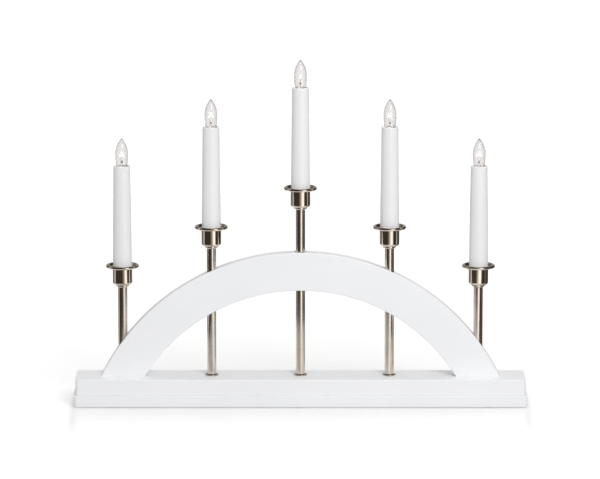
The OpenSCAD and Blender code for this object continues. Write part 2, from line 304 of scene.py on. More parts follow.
def turned(bm, profile, x=0.0, y=0.0, base=0.0, steps=64, warp=None, finish_index=0):
    """Turns a closed (radius, height) outline, taken anticlockwise, round an upright axis.

    Points on the axis become poles. warp(angle, radius, height) may change a point's radius.
    """
    rings = []
    for radius, height in profile:
        if radius < 1e-7:
            rings.append([bm.verts.new((x, y, base + height))])
            continue
        ring = []
        for i in range(steps):
            angle = TURN * i / steps
            r = warp(angle, radius, height) if warp else radius
            ring.append(bm.verts.new((x + r * math.cos(angle), y + r * math.sin(angle), base + height)))
        rings.append(ring)
    for low, high in zip(rings, rings[1:] + rings[:1]):
        for i in range(steps):
            j = (i + 1) % steps
            corners = [low[i % len(low)], low[j % len(low)], high[j % len(high)], high[i % len(high)]]
            corners = list(dict.fromkeys(corners))
            if len(corners) > 2:
                bm.faces.new(corners).material_index = finish_index


def tube_profile(inner, outer, low, high, edge):
    """Section of a plain tube with eased ends."""
    return rounded([(inner, low, edge), (outer, low, edge), (outer, high, edge), (inner, high, edge)], 3)


def point_back(bm, x, y, z):
    """Lays an upright turned shape down, so that its foot is at (x, y, z) and it points back."""
    place = Matrix.Translation((x, y, z)) @ Matrix.Rotation(math.radians(-90), 4, "X")
    bmesh.ops.transform(bm, matrix=place, verts=bm.verts)


def rod_profile(radius, low, high, edge):
    """Section of a solid round bar with eased ends."""
    return rounded([(0, low, 0), (radius, low, edge), (radius, high, edge), (0, high, 0)], 4)


def wire(bm, line, radius, sides=8, finish_index=0):
    """A round wire along a line of points, closed at both ends."""
    rings = []
    side = None
    for i, point in enumerate(line):
        along = (line[min(i + 1, len(line) - 1)] - line[max(i - 1, 0)]).normalized()
        if side is None:
            side = along.orthogonal().normalized()
        side = (side - along * side.dot(along)).normalized()
        other = along.cross(side)
        angles = [TURN * k / sides for k in range(sides)]
        rings.append([
            bm.verts.new(point + radius * (math.cos(a) * side + math.sin(a) * other)) for a in angles
        ])
    for low, high in zip(rings, rings[1:]):
        for k in range(sides):
            j = (k + 1) % sides
            bm.faces.new((low[k], low[j], high[j], high[k])).material_index = finish_index
    bm.faces.new(rings[0][::-1]).material_index = finish_index
    bm.faces.new(rings[-1]).material_index = finish_index


def lofted(bm, rings):
    """Joins outlines of equally many points, given as lists of places, and closes both ends."""
    made = [[bm.verts.new(p) for p in ring] for ring in rings]
    for low, high in zip(made, made[1:]):
        for k in range(len(low)):
            j = (k + 1) % len(low)
            bm.faces.new((low[k], low[j], high[j], high[k]))
    bm.faces.new(made[0][::-1])
    bm.faces.new(made[-1])


def eased_board(bm, low, high, corner, edge, steps=4):
    """A board with round upright corners and eased edges."""
    middle = (low + high) / 2
    half = (high - low) / 2
    rings = []
    for side, height in ((-1, low.z), (1, high.z)):
        for i in range(steps + 1):
            angle = math.radians(90) * (i if side < 0 else steps - i) / steps
            inset = edge * (1 - math.sin(angle))
            z = height - side * edge * (1 - math.cos(angle))
            x, y, r = half.x - inset, half.y - inset, corner - inset
            outline = rounded([(-x, -y, r), (x, -y, r), (x, y, r), (-x, y, r)], 8)
            rings.append([(middle.x + u, middle.y + v, z) for u, v in outline])
    lofted(bm, rings)


def block(bm, low, high):
    """A plain block, for cutting."""
    matrix = Matrix.Translation((low + high) / 2) @ Matrix.Diagonal((*(high - low), 1))
    bmesh.ops.create_cube(bm, size=1, matrix=matrix)


# ---- objects ----


def new_object(name, bm):
    """A linked object that holds a finished bmesh."""
    mesh = bpy.data.meshes.new(name)
    bm.to_mesh(mesh)
    bm.free()
    made = bpy.data.objects.new(name, mesh)
    bpy.context.scene.collection.objects.link(made)
    return made


def convert(piece):
    """Gives an object its evaluated mesh and takes its modifiers off."""
    bpy.context.view_layer.update()
    graph = bpy.context.evaluated_depsgraph_get()
    made = bpy.data.meshes.new_from_object(
        piece.evaluated_get(graph), preserve_all_data_layers=True, depsgraph=graph
    )
    piece.modifiers.clear()
    old = piece.data
    piece.data = made
    bpy.data.meshes.remove(old)
    made.name = piece.name
    return piece


def turned_object(name, profile, *place, **options):
    """A new object that is one turned shape."""
    bm = bmesh.new()
    turned(bm, profile, *place, **options)
    return new_object(name, bm)


def cut(piece, bm, operation="DIFFERENCE"):
    """Cuts an object with the shape that a bmesh holds, which is used up."""
    cutter = new_object("cutter", bm)
    change = piece.modifiers.new("Cut", "BOOLEAN")
    change.operation = operation
    change.solver = "EXACT"
    change.use_self = True
    change.object = cutter
    convert(piece)
    bpy.data.objects.remove(cutter)
    return piece


def smooth(piece, sharp=35):
    """Smooth shading between sharp edges, with normals that follow the larger faces."""
    piece.data.shade_smooth()
    piece.data.set_sharp_from_angle(angle=math.radians(sharp))
    weigh = piece.modifiers.new("Even normals", "WEIGHTED_NORMAL")
    weigh.keep_sharp = True
    weigh.weight = 100
    return convert(piece)


def hand_over(piece, body, nodes, finishes=()):
    """Finishes a piece: its materials, its shading, its body and the nodes it stands for."""
    for name in finishes:
        piece.data.materials.append(material(name))
    smooth(piece)
    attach(piece, body)
    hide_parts(*nodes)
    return piece


# ---- geometry node trees ----


def new_tree(name, sockets):
    """A geometry node tree with named inputs and one geometry output."""
    tree = bpy.data.node_groups.new(name, "GeometryNodeTree")
    tree.interface.new_socket("Geometry", in_out="OUTPUT", socket_type="NodeSocketGeometry")
    for title, kind in sockets:
        tree.interface.new_socket(title, in_out="INPUT", socket_type="NodeSocket" + kind)
    return tree, tree.nodes.new("NodeGroupInput").outputs


def add_node(tree, kind, inputs=(), **settings):
    """Adds a node. An input may be a value, or a socket to link from."""
    node = tree.nodes.new(kind)
    for key, value in settings.items():
        setattr(node, key, value)
    for key, value in dict(inputs).items():
        for item in value if isinstance(value, list) else [value]:
            if isinstance(item, bpy.types.NodeSocket):
                tree.links.new(item, node.inputs[key])
            else:
                node.inputs[key].default_value = item
    return node


def close_tree(tree, geometry, finish_socket):
    """Ends a tree: real geometry with its finish on it."""
    real = add_node(tree, "GeometryNodeRealizeInstances", {"Geometry": geometry})
    coated = add_node(
        tree, "GeometryNodeSetMaterial", {"Geometry": real.outputs[0], "Material": finish_socket}
    )
    add_node(tree, "NodeGroupOutput", {0: coated.outputs[0]})
    return tree


def copies_tree():
    """Puts one copy of a part on each point, turned at random about its upright axis."""
    if "Copies on points" in bpy.data.node_groups:
        return bpy.data.node_groups["Copies on points"]
    tree, given = new_tree("Copies on points", [
        ("Points", "Geometry"), ("Part", "Object"), ("Largest turn", "Float"), ("Seed", "Int"),
        ("Finish", "Material"),
    ])
    part = add_node(tree, "GeometryNodeObjectInfo", {"Object": given["Part"], "As Instance": True})
    chance = add_node(
        tree, "FunctionNodeRandomValue",
        {"Max": given["Largest turn"], "Seed": given["Seed"]}, data_type="FLOAT",
    )
    spin = add_node(tree, "ShaderNodeCombineXYZ", {"Z": chance.outputs[1]})
    placed = add_node(tree, "GeometryNodeInstanceOnPoints", {
        "Points": given["Points"], "Instance": part.outputs["Geometry"], "Rotation": spin.outputs[0],
    })
    return close_tree(tree, placed.outputs[0], given["Finish"])


def arch_tree():
    """A flat band bent along an arc, cut level at its feet and drilled for the tubes."""
    tree, given = new_tree("Bent band", [
        ("Outer radius", "Float"), ("Band width", "Float"), ("Thickness", "Float"),
        ("Edge", "Float"), ("Centre height", "Float"), ("Foot height", "Float"),
        ("Bores", "Object"), ("Finish", "Material"),
    ])

    def math_node(operation, first, second):
        return add_node(tree, "ShaderNodeMath", {0: first, 1: second}, operation=operation).outputs[0]

    half_band = math_node("MULTIPLY", given["Band width"], 0.5)
    path = add_node(tree, "GeometryNodeCurveArc", {
        "Resolution": 181, "Radius": math_node("SUBTRACT", given["Outer radius"], half_band),
        "Start Angle": 0.0, "Sweep Angle": math.pi,
    }, mode="RADIUS")
    upright = add_node(tree, "GeometryNodeSetCurveNormal", {"Curve": path.outputs["Curve"]}, mode="Z_UP")
    section = add_node(tree, "GeometryNodeCurvePrimitiveQuadrilateral", {
        "Width": given["Band width"], "Height": given["Thickness"],
    })
    eased = add_node(tree, "GeometryNodeFilletCurve", {
        "Curve": section.outputs[0], "Radius": given["Edge"], "Count": 4,
    }, mode="POLY")
    band = add_node(tree, "GeometryNodeCurveToMesh", {
        "Curve": upright.outputs[0], "Profile Curve": eased.outputs[0], "Fill Caps": True,
    })
    lift = add_node(tree, "ShaderNodeCombineXYZ", {"Z": given["Centre height"]})
    stood = add_node(tree, "GeometryNodeTransform", {
        "Geometry": band.outputs[0], "Translation": lift.outputs[0], "Rotation": (math.radians(90), 0, 0),
    })
    size = math_node("MULTIPLY", given["Outer radius"], 3.0)
    spread = add_node(tree, "ShaderNodeCombineXYZ", {"X": size, "Y": size, "Z": size})
    ground = add_node(tree, "GeometryNodeMeshCube", {"Size": spread.outputs[0]})
    sunk = math_node("SUBTRACT", given["Foot height"], math_node("MULTIPLY", size, 0.5))
    down = add_node(tree, "ShaderNodeCombineXYZ", {"Z": sunk})
    below = add_node(tree, "GeometryNodeTransform", {
        "Geometry": ground.outputs[0], "Translation": down.outputs[0],
    })
    bores = add_node(tree, "GeometryNodeObjectInfo", {"Object": given["Bores"]})
    shaped = add_node(tree, "GeometryNodeMeshBoolean", {
        "Mesh 1": stood.outputs[0], "Mesh 2": [below.outputs[0], bores.outputs["Geometry"]],
    }, operation="DIFFERENCE")
    return close_tree(tree, shaped.outputs["Mesh"], given["Finish"])


def grow(piece, tree, **values):
    """Runs a tree on an object with these inputs and keeps the result as a plain mesh."""
    change = piece.modifiers.new(tree.name, "NODES")
    change.node_group = tree
    for item in tree.interface.items_tree:
        key = item.name.lower().replace(" ", "_")
        if item.item_type == "SOCKET" and item.in_out == "INPUT" and key in values:
            change[item.identifier] = values[key]
    return convert(piece)


def hand_over_copies(name, node, part, places, finish_name, largest_turn=0.0):
    """Finishes one piece made of a copy of a part at each place, and uses the part up."""
    marks = bmesh.new()
    for place in places:
        marks.verts.new(place)
    piece = new_object(name, marks)
    grow(
        piece, copies_tree(), part=part, largest_turn=largest_turn, seed=studio().seed,
        finish=material(finish_name),
    )
    bpy.data.objects.remove(part)
    hand_over(piece, "root", [node])


# ---- finishes ----


class Recipe:
    """A material being made: its shader, and short ways to give it grain, tones, gloss and bumps."""

    def __init__(self, name, colour, roughness, **sockets):
        self.material = bpy.data.materials.new(name)
        self.material.use_nodes = True
        self.tree = self.material.node_tree
        self.shader = self.tree.nodes["Principled BSDF"]
        self.place = self.add("ShaderNodeTexCoord").outputs["Object"]
        self.height = None
        self.set("Base Color", (*colour, 1))
        self.set("Roughness", roughness)
        for title, value in sockets.items():
            self.set(title.replace("_", " "), value)
        self.material.diffuse_color = (*colour, 1)

    def add(self, kind, inputs=(), **settings):
        return add_node(self.tree, kind, inputs, **settings)

    def set(self, title, value):
        if isinstance(value, bpy.types.NodeSocket):
            self.tree.links.new(value, self.shader.inputs[title])
        else:
            self.shader.inputs[title].default_value = value

    def grain(self, size, stretch=(1, 1, 1), detail=3.0, rough=0.5):
        """Noise whose features are about size metres across, drawn out by stretch."""
        scaled = self.add("ShaderNodeMapping", {
            "Vector": self.place, "Scale": tuple(1 / s for s in stretch),
        })
        return self.add("ShaderNodeTexNoise", {
            "Vector": scaled.outputs[0], "Scale": 1 / size, "Detail": detail, "Roughness": rough,
        }).outputs["Fac"]

    def spread(self, value, low, high, start=0.3, end=0.7):
        """Carries a value between start and end over to low and high."""
        return self.add("ShaderNodeMapRange", {
            "Value": value, "From Min": start, "From Max": end, "To Min": low, "To Max": high,
        }).outputs["Result"]

    def blend(self, factor, first, second):
        """Mixes two colours."""
        mix = self.add("ShaderNodeMix", data_type="RGBA")
        self.tree.links.new(factor, mix.inputs["Factor"])
        for index, colour in ((6, first), (7, second)):
            if isinstance(colour, bpy.types.NodeSocket):
                self.tree.links.new(colour, mix.inputs[index])
            else:
                mix.inputs[index].default_value = (*colour, 1)
        return mix.outputs[2]

    def tones(self, value, first, second):
        """Carries the base colour from one colour to another as a value grows."""
        self.set("Base Color", self.blend(self.spread(value, 0, 1), first, second))

    def gloss(self, value, low, high):
        """Carries the roughness from low to high as a value grows."""
        self.set("Roughness", self.spread(value, low, high))

    def bump(self, value, depth):
        """Raises the surface by up to depth metres where the value is high."""
        inputs = {"Height": value, "Distance": depth}
        if self.height is not None:
            inputs["Normal"] = self.height
        self.height = self.add("ShaderNodeBump", inputs).outputs["Normal"]
        self.set("Normal", self.height)


def shade(colour, factor):
    """A colour made lighter or darker."""
    return tuple(min(1.0, c * factor) for c in colour)


def painted_wood(name):
    """Satin white paint, sprayed: orange peel, a little of the board's grain, soft unevenness."""
    paint = tuple(finish().paint)
    m = Recipe(name, paint, 0.4, Specular_IOR_Level=0.3)
    cloud = m.spread(m.grain(60 * MM, detail=2), 0, 1)
    tone = m.blend(cloud, shade(paint, 0.98), shade(paint, 1.01))
    streaks = m.grain(1.4 * MM, (40, 1, 1), detail=3)
    m.set("Base Color", m.blend(m.spread(streaks, 0, 1, 0.35, 0.5), shade(paint, 0.988), tone))
    m.gloss(m.grain(4 * MM), 0.34, 0.46)
    m.bump(m.grain(1.6 * MM, detail=1), 0.025 * MM)
    m.bump(streaks, 0.012 * MM)
    return m.material


def nickel(name, rough, stretch, size, depth):
    """Bright nickel plate over polished metal, with fine lines left by the polishing."""
    metal = tuple(finish().nickel)
    m = Recipe(name, metal, rough, Metallic=1.0)
    lines = m.grain(size, stretch, detail=4, rough=0.6)
    m.tones(m.grain(14 * MM, detail=3), shade(metal, 0.93), shade(metal, 1.05))
    m.gloss(lines, rough * 0.7, rough * 1.3)
    m.bump(lines, depth)
    return m.material


def drawn_nickel(name):
    """Nickel plate on drawn tube: the lines run along the tube."""
    return nickel(name, 0.14, (1, 1, 60), 0.35 * MM, 0.004 * MM)


def spun_nickel(name):
    """Nickel plate on spun cups: the lines run round the cup."""
    return nickel(name, 0.085, (40, 40, 1), 0.3 * MM, 0.002 * MM)


def candle_plastic(name):
    """Smooth white moulded plastic that lets a little light in."""
    white = tuple(finish().sleeve)
    m = Recipe(
        name, white, 0.34, Subsurface_Weight=0.12, Subsurface_Radius=(1.0, 0.8, 0.6),
        Subsurface_Scale=1.5 * MM, Specular_IOR_Level=0.5,
    )
    m.tones(m.grain(30 * MM, (1, 1, 3), detail=2), shade(white, 0.985), shade(white, 1.01))
    m.gloss(m.grain(2.5 * MM), 0.29, 0.4)
    m.bump(m.grain(6 * MM, (1, 1, 8), detail=2), 0.03 * MM)
    m.bump(m.grain(0.5 * MM, detail=1), 0.003 * MM)
    return m.material


def holder_plastic(name):
    """Matt off-white plastic of the lamp holders and risers."""
    white = (0.82, 0.81, 0.77)
    m = Recipe(name, white, 0.5)
    m.tones(m.grain(8 * MM), shade(white, 0.96), shade(white, 1.03))
    m.gloss(m.grain(1 * MM), 0.42, 0.58)
    m.bump(m.grain(0.35 * MM, detail=2), 0.01 * MM)
    return m.material


def bulb_glass(name):
    """Clear blown glass, very slightly uneven, darker where one looks along its wall: painted shade at the
    flanks, standing in for the dark surroundings that they refract and reflect.
    """
    m = Recipe(name, (0.97, 0.975, 0.98), 0.0, Transmission_Weight=1.0, IOR=1.5)
    along = m.add("ShaderNodeLayerWeight", {"Blend": 0.35}).outputs["Facing"]
    # Painted shade: the base colour turns grey where the glass is seen edge-on, for the darker surroundings
    # that its flanks refract and reflect.
    m.set("Base Color", m.blend(m.spread(along, 0, 1, 0.08, 0.7), (0.875, 0.865, 0.86), (0.52, 0.51, 0.51)))
    m.gloss(m.grain(5 * MM), 0.0, 0.02)
    m.bump(m.grain(7 * MM, (1, 1, 3), detail=1), 0.02 * MM)
    return m.material


def lit_filament(name):
    """Glowing coiled wire."""
    glow = tuple(finish().glow)
    m = Recipe(name, (0.3, 0.26, 0.22), 0.4, Metallic=1.0)
    hot = m.grain(1.2 * MM, detail=1)
    m.set("Emission Color", m.blend(m.spread(hot, 0, 1), shade(glow, 0.9), glow))
    m.set("Emission Strength", finish().glow_strength)
    return m.material


def lead_wire(name):
    """Coppery lead-in wire."""
    m = Recipe(name, (0.42, 0.33, 0.27), 0.35, Metallic=1.0)
    m.gloss(m.grain(0.4 * MM), 0.25, 0.45)
    return m.material


def bead_glass(name):
    """Small bead of dark blue-grey glass that holds the leads apart."""
    m = Recipe(name, (0.22, 0.23, 0.27), 0.12, Coat_Weight=0.4)
    m.gloss(m.grain(0.8 * MM), 0.08, 0.2)
    return m.material


def cap_metal(name):
    """Nickel-plated thin brass of the bulb caps."""
    m = Recipe(name, (0.74, 0.70, 0.63), 0.25, Metallic=1.0)
    m.gloss(m.grain(1.5 * MM), 0.18, 0.34)
    m.bump(m.grain(0.6 * MM), 0.006 * MM)
    return m.material


def black_insulator(name):
    """Black glassy insulator at the foot of a cap."""
    m = Recipe(name, (0.02, 0.02, 0.024), 0.2, Coat_Weight=0.3)
    m.gloss(m.grain(1 * MM), 0.14, 0.3)
    return m.material


def solder(name):
    """Dull grey solder, slightly lumpy."""
    m = Recipe(name, (0.56, 0.56, 0.57), 0.35, Metallic=1.0)
    m.bump(m.grain(0.7 * MM), 0.08 * MM)
    return m.material


def brass(name):
    """Plain brass with a light tarnish."""
    metal = (0.78, 0.61, 0.31)
    m = Recipe(name, metal, 0.28, Metallic=1.0)
    m.tones(m.grain(3 * MM), shade(metal, 0.82), metal)
    m.gloss(m.grain(0.8 * MM), 0.2, 0.4)
    return m.material


def zinc(name):
    """Zinc-plated steel of screws, nuts and washers."""
    metal = (0.60, 0.61, 0.63)
    m = Recipe(name, metal, 0.32, Metallic=1.0)
    m.tones(m.grain(2 * MM), shade(metal, 0.88), (0.64, 0.63, 0.58))
    m.gloss(m.grain(0.7 * MM), 0.24, 0.42)
    m.bump(m.grain(0.4 * MM), 0.006 * MM)
    return m.material


def felt(name):
    """Pressed grey-white felt."""
    wool = (0.70, 0.70, 0.69)
    m = Recipe(name, wool, 0.95, Sheen_Weight=0.4, Sheen_Roughness=0.6)
    fibres = m.grain(0.5 * MM, (3, 3, 1), detail=5, rough=0.7)
    m.tones(fibres, shade(wool, 0.8), shade(wool, 1.1))
    m.bump(fibres, 0.15 * MM)
    return m.material


def grommet_rubber(name):
    """Pale soft rubber."""
    m = Recipe(name, (0.80, 0.80, 0.79), 0.6)
    m.gloss(m.grain(1 * MM), 0.5, 0.68)
    m.bump(m.grain(0.4 * MM), 0.01 * MM)
    return m.material


def insulation(name):
    """Extruded plastic insulation of the leads."""
    m = Recipe(name, (0.76, 0.74, 0.68), 0.45)
    m.gloss(m.grain(1 * MM), 0.38, 0.52)
    m.bump(m.grain(0.8 * MM, (1, 1, 12)), 0.01 * MM)
    return m.material


def studio_floor(name):
    """Pale, faintly glossy floor that gives off some light, and a little less right by the base: a painted
    shadow there stands in for the base's contact shadow and faint reflection.
    """
    m = Recipe(name, (0.82, 0.82, 0.82), 0.2, Specular_IOR_Level=0.25)
    m.gloss(m.grain(0.4), 0.16, 0.22)
    m.set("Emission Color", (1, 1, 1, 1))
    # Painted shadow: less glow in front of and behind the base, fading out 0.16 m away and 6 mm past its
    # ends, for its contact shadow and faint reflection.
    base = CAD_BOX[1]
    outside = m.add("ShaderNodeVectorMath", {0: m.place}, operation="ABSOLUTE").outputs[0]
    outside = m.add("ShaderNodeVectorMath", {0: outside, 1: (base.x, base.y, 0)}, operation="SUBTRACT")
    sides = m.add("ShaderNodeSeparateXYZ", {0: outside.outputs[0]}).outputs
    painted_shadow_mask = m.add("ShaderNodeMath", {
        0: m.spread(sides["Y"], 1, 0, 0.0, 0.16), 1: m.spread(sides["X"], 1, 0, -2 * MM, 6 * MM),
    }, operation="MULTIPLY").outputs[0]
    far = m.add("ShaderNodeVectorMath", {0: m.place}, operation="LENGTH").outputs["Value"]
    glow = studio().floor_glow
    m.set("Emission Strength", m.add("ShaderNodeMath", {
        0: m.spread(far, glow, glow + 0.15, 0.2, 0.7), 1: m.spread(painted_shadow_mask, 0, -studio().floor_shade, 0, 1),
    }, operation="ADD").outputs[0])
    return m.material


FINISHES = {
    "satin_white_paint": painted_wood,
    "nickel_plate_drawn": drawn_nickel,
    "nickel_plate_spun": spun_nickel,
    "white_candle_plastic": candle_plastic,
    "off_white_holder_plastic": holder_plastic,
    "clear_bulb_glass": bulb_glass,
    "glowing_filament": lit_filament,
    "lead_in_wire": lead_wire,
    "bead_glass": bead_glass,
    "bulb_cap_plate": cap_metal,
    "black_cap_insulator": black_insulator,
    "solder": solder,
    "plain_brass": brass,
    "zinc_plate": zinc,
    "pressed_felt": felt,
    "pale_rubber": grommet_rubber,
    "lead_insulation": insulation,
    "pale_floor": studio_floor,
}


def material(name):
    """A finish by its name, made the first time it is asked for."""
    return bpy.data.materials.get(name) or FINISHES[name](name)


# ---- operators: one for each piece or group of like pieces ----


class CANDELABRUM_OT_stage(bpy.types.Operator):
    """Sets the floor, the lights, the reflecting panels and the camera"""

    bl_idname = "candelabrum.stage"
    bl_label = "Stage"

    # What the bright metal mirrors round the object. Each sector: from and to, in degrees to the
    # right of the camera, then how bright the table, the wall's foot and the wall are there
    SECTORS = (
        (-180, -146, 0.9, 0.35, 0.38),
        (-146, -108, 0.9, 0.2, 0.12),
        (-108, -88, 0.8, 0.6, 0.6),
        (-88, -14, 0.5, 0.05, 0.03),
        (-14, 0, 0.6, 0.2, 0.1),
        (0, 14, 0.8, 0.6, 0.25),
        (14, 22, 1.0, 1.3, 0.9),
        (22, 42, 1.1, 1.5, 1.25),
        (42, 52, 0.9, 0.3, 0.2),
        (52, 78, 0.8, 0.04, 0.04),
        (78, 104, 0.5, 0.15, 0.12),
        (104, 146, 0.3, 0.03, 0.02),
        (146, 180, 0.9, 0.35, 0.38),
    )
    COLUMNS = 12
    # Distances of the table's edge and the wall, then the heights of the wall's foot, its top and the table
    TABLE = 0.44
    WALL = 1.3
    WALL_FOOT = 0.06
    WALL_TOP = 1.6
    BELOW_FLOOR = -0.5 * MM
    # Brightness of the ceiling, and the brightness up to which a panel has a warm tint
    CEILING = 0.08
    DARK = 0.25

    # Degrees to the right of the camera, degrees up, distance and size of each light
    KEY = (20, 35, 2.2, 0.9)
    TOP = (160, 78, 1.8, 1.2)
    LIT_HEIGHT = 0.2
    FLOOR_RADIUS = 14
    AIM_X = -0.5 * MM
    # How bright the air is, from straight below to straight above
    AIR = ((0.0, 0.68), (0.49, 0.68), (0.5, 0.85), (0.57, 0.85), (0.66, 0.38), (1.0, 0.38))

    def mirrored_room(self):
        """A table and a round wall behind everything, which only reflections see."""
        edge = (0.02, self.BELOW_FLOOR)
        table = (self.TABLE, self.BELOW_FLOOR)
        foot = (self.WALL, self.BELOW_FLOOR)
        split = (self.WALL, self.WALL_FOOT)
        top = (self.WALL, self.WALL_TOP)
        middle = (0.01, self.WALL_TOP)
        lines = {"table": (edge, table), "foot": (table, foot, split), "wall": (split, top),
                 "ceiling": (top, middle)}
        for number, (first, last, *brightness) in enumerate(self.SECTORS, 1):
            shares = [i / self.COLUMNS for i in range(self.COLUMNS + 1)]
            angles = [math.radians(first + (last - first) * share) for share in shares]
            for (part, line), bright in zip(lines.items(), (*brightness, self.CEILING)):
                bm = bmesh.new()
                columns = [
                    [bm.verts.new((r * math.sin(a), -r * math.cos(a), z)) for r, z in line] for a in angles
                ]
                for left, right in zip(columns, columns[1:]):
                    for k in range(len(line) - 1):
                        bm.faces.new((left[k], left[k + 1], right[k + 1], right[k]))
                panel = new_object(f"mirrored_{part}_{number}", bm)
                glow = Recipe(f"mirrored_glow_{part}_{number}", (0, 0, 0), 1.0, Specular_IOR_Level=0.0)
                glow.set("Emission Color", (1, 0.985, 0.96, 1) if bright > self.DARK else (1, 0.8, 0.6, 1))
                glow.set("Emission Strength", bright)
                panel.data.materials.append(glow.material)
                for ray in ("camera", "diffuse", "shadow", "transmission", "volume_scatter"):
                    setattr(panel, "visible_" + ray, False)

    def light(self, name, azimuth, elevation, distance, size, power):
        """A large soft light that looks at the object."""
        data = bpy.data.lights.new(name, "AREA")
        data.shape = "SQUARE"
        data.size = size
        data.energy = power
        lamp = bpy.data.objects.new(name, data)
        a, e = math.radians(azimuth), math.radians(elevation)
        back = Vector((math.sin(a) * math.cos(e), -math.cos(a) * math.cos(e), math.sin(e)))
        lamp.location = Vector((0, 0, self.LIT_HEIGHT)) + back * distance
        lamp.rotation_euler = back.to_track_quat("Z", "Y").to_euler()
        bpy.context.scene.collection.objects.link(lamp)

    def air(self):
        """Even light from all round, a little less from above."""
        world = bpy.data.worlds.new("studio_air")
        world.use_nodes = True
        tree = world.node_tree
        direction = add_node(tree, "ShaderNodeTexCoord").outputs["Generated"]
        height = add_node(tree, "ShaderNodeSeparateXYZ", {0: direction}).outputs["Z"]
        share = add_node(tree, "ShaderNodeMapRange", {"Value": height, "From Min": -1.0, "From Max": 1.0})
        ramp = add_node(tree, "ShaderNodeValToRGB", {"Fac": share.outputs["Result"]})
        for position, bright in self.AIR:
            ramp.color_ramp.elements.new(position).color = (bright, bright, bright, 1)
        ramp.color_ramp.elements.remove(ramp.color_ramp.elements[-1])
        ramp.color_ramp.elements.remove(ramp.color_ramp.elements[0])
        tree.links.new(ramp.outputs["Color"], tree.nodes["Background"].inputs["Color"])
        return world

    def execute(self, context):
        settings = studio()
        scene = context.scene
        scene.view_settings.view_transform = "Standard"
        scene.world = self.air()

        bm = bmesh.new()
        bmesh.ops.create_circle(bm, cap_ends=True, cap_tris=False, segments=96, radius=self.FLOOR_RADIUS)
        floor = new_object("floor", bm)
        floor.data.materials.append(material("pale_floor"))
        floor.visible_diffuse = False
        floor.visible_glossy = False

        self.mirrored_room()
        self.light("key_light", *self.KEY, settings.key_power)
        self.light("top_light", *self.TOP, settings.top_power)

        camera = bpy.data.objects.new("camera", bpy.data.cameras.new("camera"))
        camera.data.lens = settings.lens
        camera.data.sensor_width = 36
        camera.data.clip_end = 4 * self.FLOOR_RADIUS
        e = settings.elevation
        back = Vector((0, -math.cos(e), math.sin(e)))
        camera.location = Vector((self.AIM_X, 0, settings.aim_height)) + back * settings.distance
        camera.rotation_euler = back.to_track_quat("Z", "Y").to_euler()
        scene.collection.objects.link(camera)
        scene.camera = camera
        return {"FINISHED"}


class CANDELABRUM_OT_boards(bpy.types.Operator):
    """Makes the two painted boards of the base"""

    bl_idname = "candelabrum.boards"
    bl_label = "Base boards"

    # How far a cutter runs past the face that it cuts
    PAST = 1 * MM
    # Half the width of the groove for the wires, how far it runs past the washers, and the radii of
    # the recesses round the washers and of the hole for the grommet
    GROOVE_HALF = 7 * MM
    GROOVE_MORE = 4 * MM
    WASHER_RECESS = 11 * MM
    INLET_RADIUS = 4.75 * MM
    # Room round the terminal block
    POCKET_ROOM = (3 * MM, 2 * MM, 0)

    def board(self, node):
        """The uncut board, and the two corners of its box."""
        low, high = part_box(node)
        bm = bmesh.new()
        eased_board(bm, low, high, sizes().board_corner, sizes().board_edge)
        return new_object("painted_" + node, bm), low, high

    def lower(self):
        board, low, high = self.board("lower_board")
        thick = high.z - low.z
        holes = bmesh.new()
        size, places = repeated("board_screws")
        head = size.x / 2
        shank = head / 2
        for place in places:
            turned(holes, [
                (0, -self.PAST), (head, -self.PAST), (head, 0), (shank, head - shank),
                (shank, thick + self.PAST), (0, thick + self.PAST),
            ], place.x, place.y, low.z, 32)
        size, places = repeated("felt_pads")
        for place in places:
            recess = rod_profile(size.x / 2, place.z - low.z - self.PAST, place.z + size.z - low.z, 0)
            turned(holes, recess, place.x, place.y, low.z, 48)
        cut(board, holes)
        hand_over(board, "root", ["lower_board"], ["satin_white_paint"])

    def upper(self):
        board, low, high = self.board("upper_board")
        thick = high.z - low.z
        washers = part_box("tube_washers")
        roof = washers[1].z
        reach = washers[1].x + self.GROOVE_MORE
        groove = bmesh.new()
        block(groove, Vector((-reach, -self.GROOVE_HALF, low.z - self.PAST)),
              Vector((reach, self.GROOVE_HALF, roof)))
        cut(board, groove)
        pocket = bmesh.new()
        around = Vector(self.POCKET_ROOM)
        block_low, block_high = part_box("terminal_block")
        block(pocket, block_low - around - Vector((0, 0, self.PAST)),
              Vector((*(block_high + around).xy, roof)))
        cut(board, pocket)
        holes = bmesh.new()
        for n in LAMPS:
            lamp = Lamp(n)
            bore = lamp.tube_radius + WOOD_ROOM
            turned(holes, [
                (0, -self.PAST), (self.WASHER_RECESS, -self.PAST), (self.WASHER_RECESS, roof - low.z),
                (bore, roof - low.z), (bore, thick + self.PAST), (0, thick + self.PAST),
            ], lamp.x, 0, low.z, 48)
        cut(board, holes)
        inlet = bmesh.new()
        grommet_low, grommet_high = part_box("cord_grommet")
        middle = (grommet_low + grommet_high) / 2
        turned(inlet, rod_profile(self.INLET_RADIUS, 0, high.y + self.PAST, 0), steps=48)
        point_back(inlet, middle.x, 0, middle.z)
        cut(board, inlet)
        hand_over(board, "root", ["upper_board"], ["satin_white_paint"])

    def execute(self, context):
        self.lower()
        self.upper()
        return {"FINISHED"}


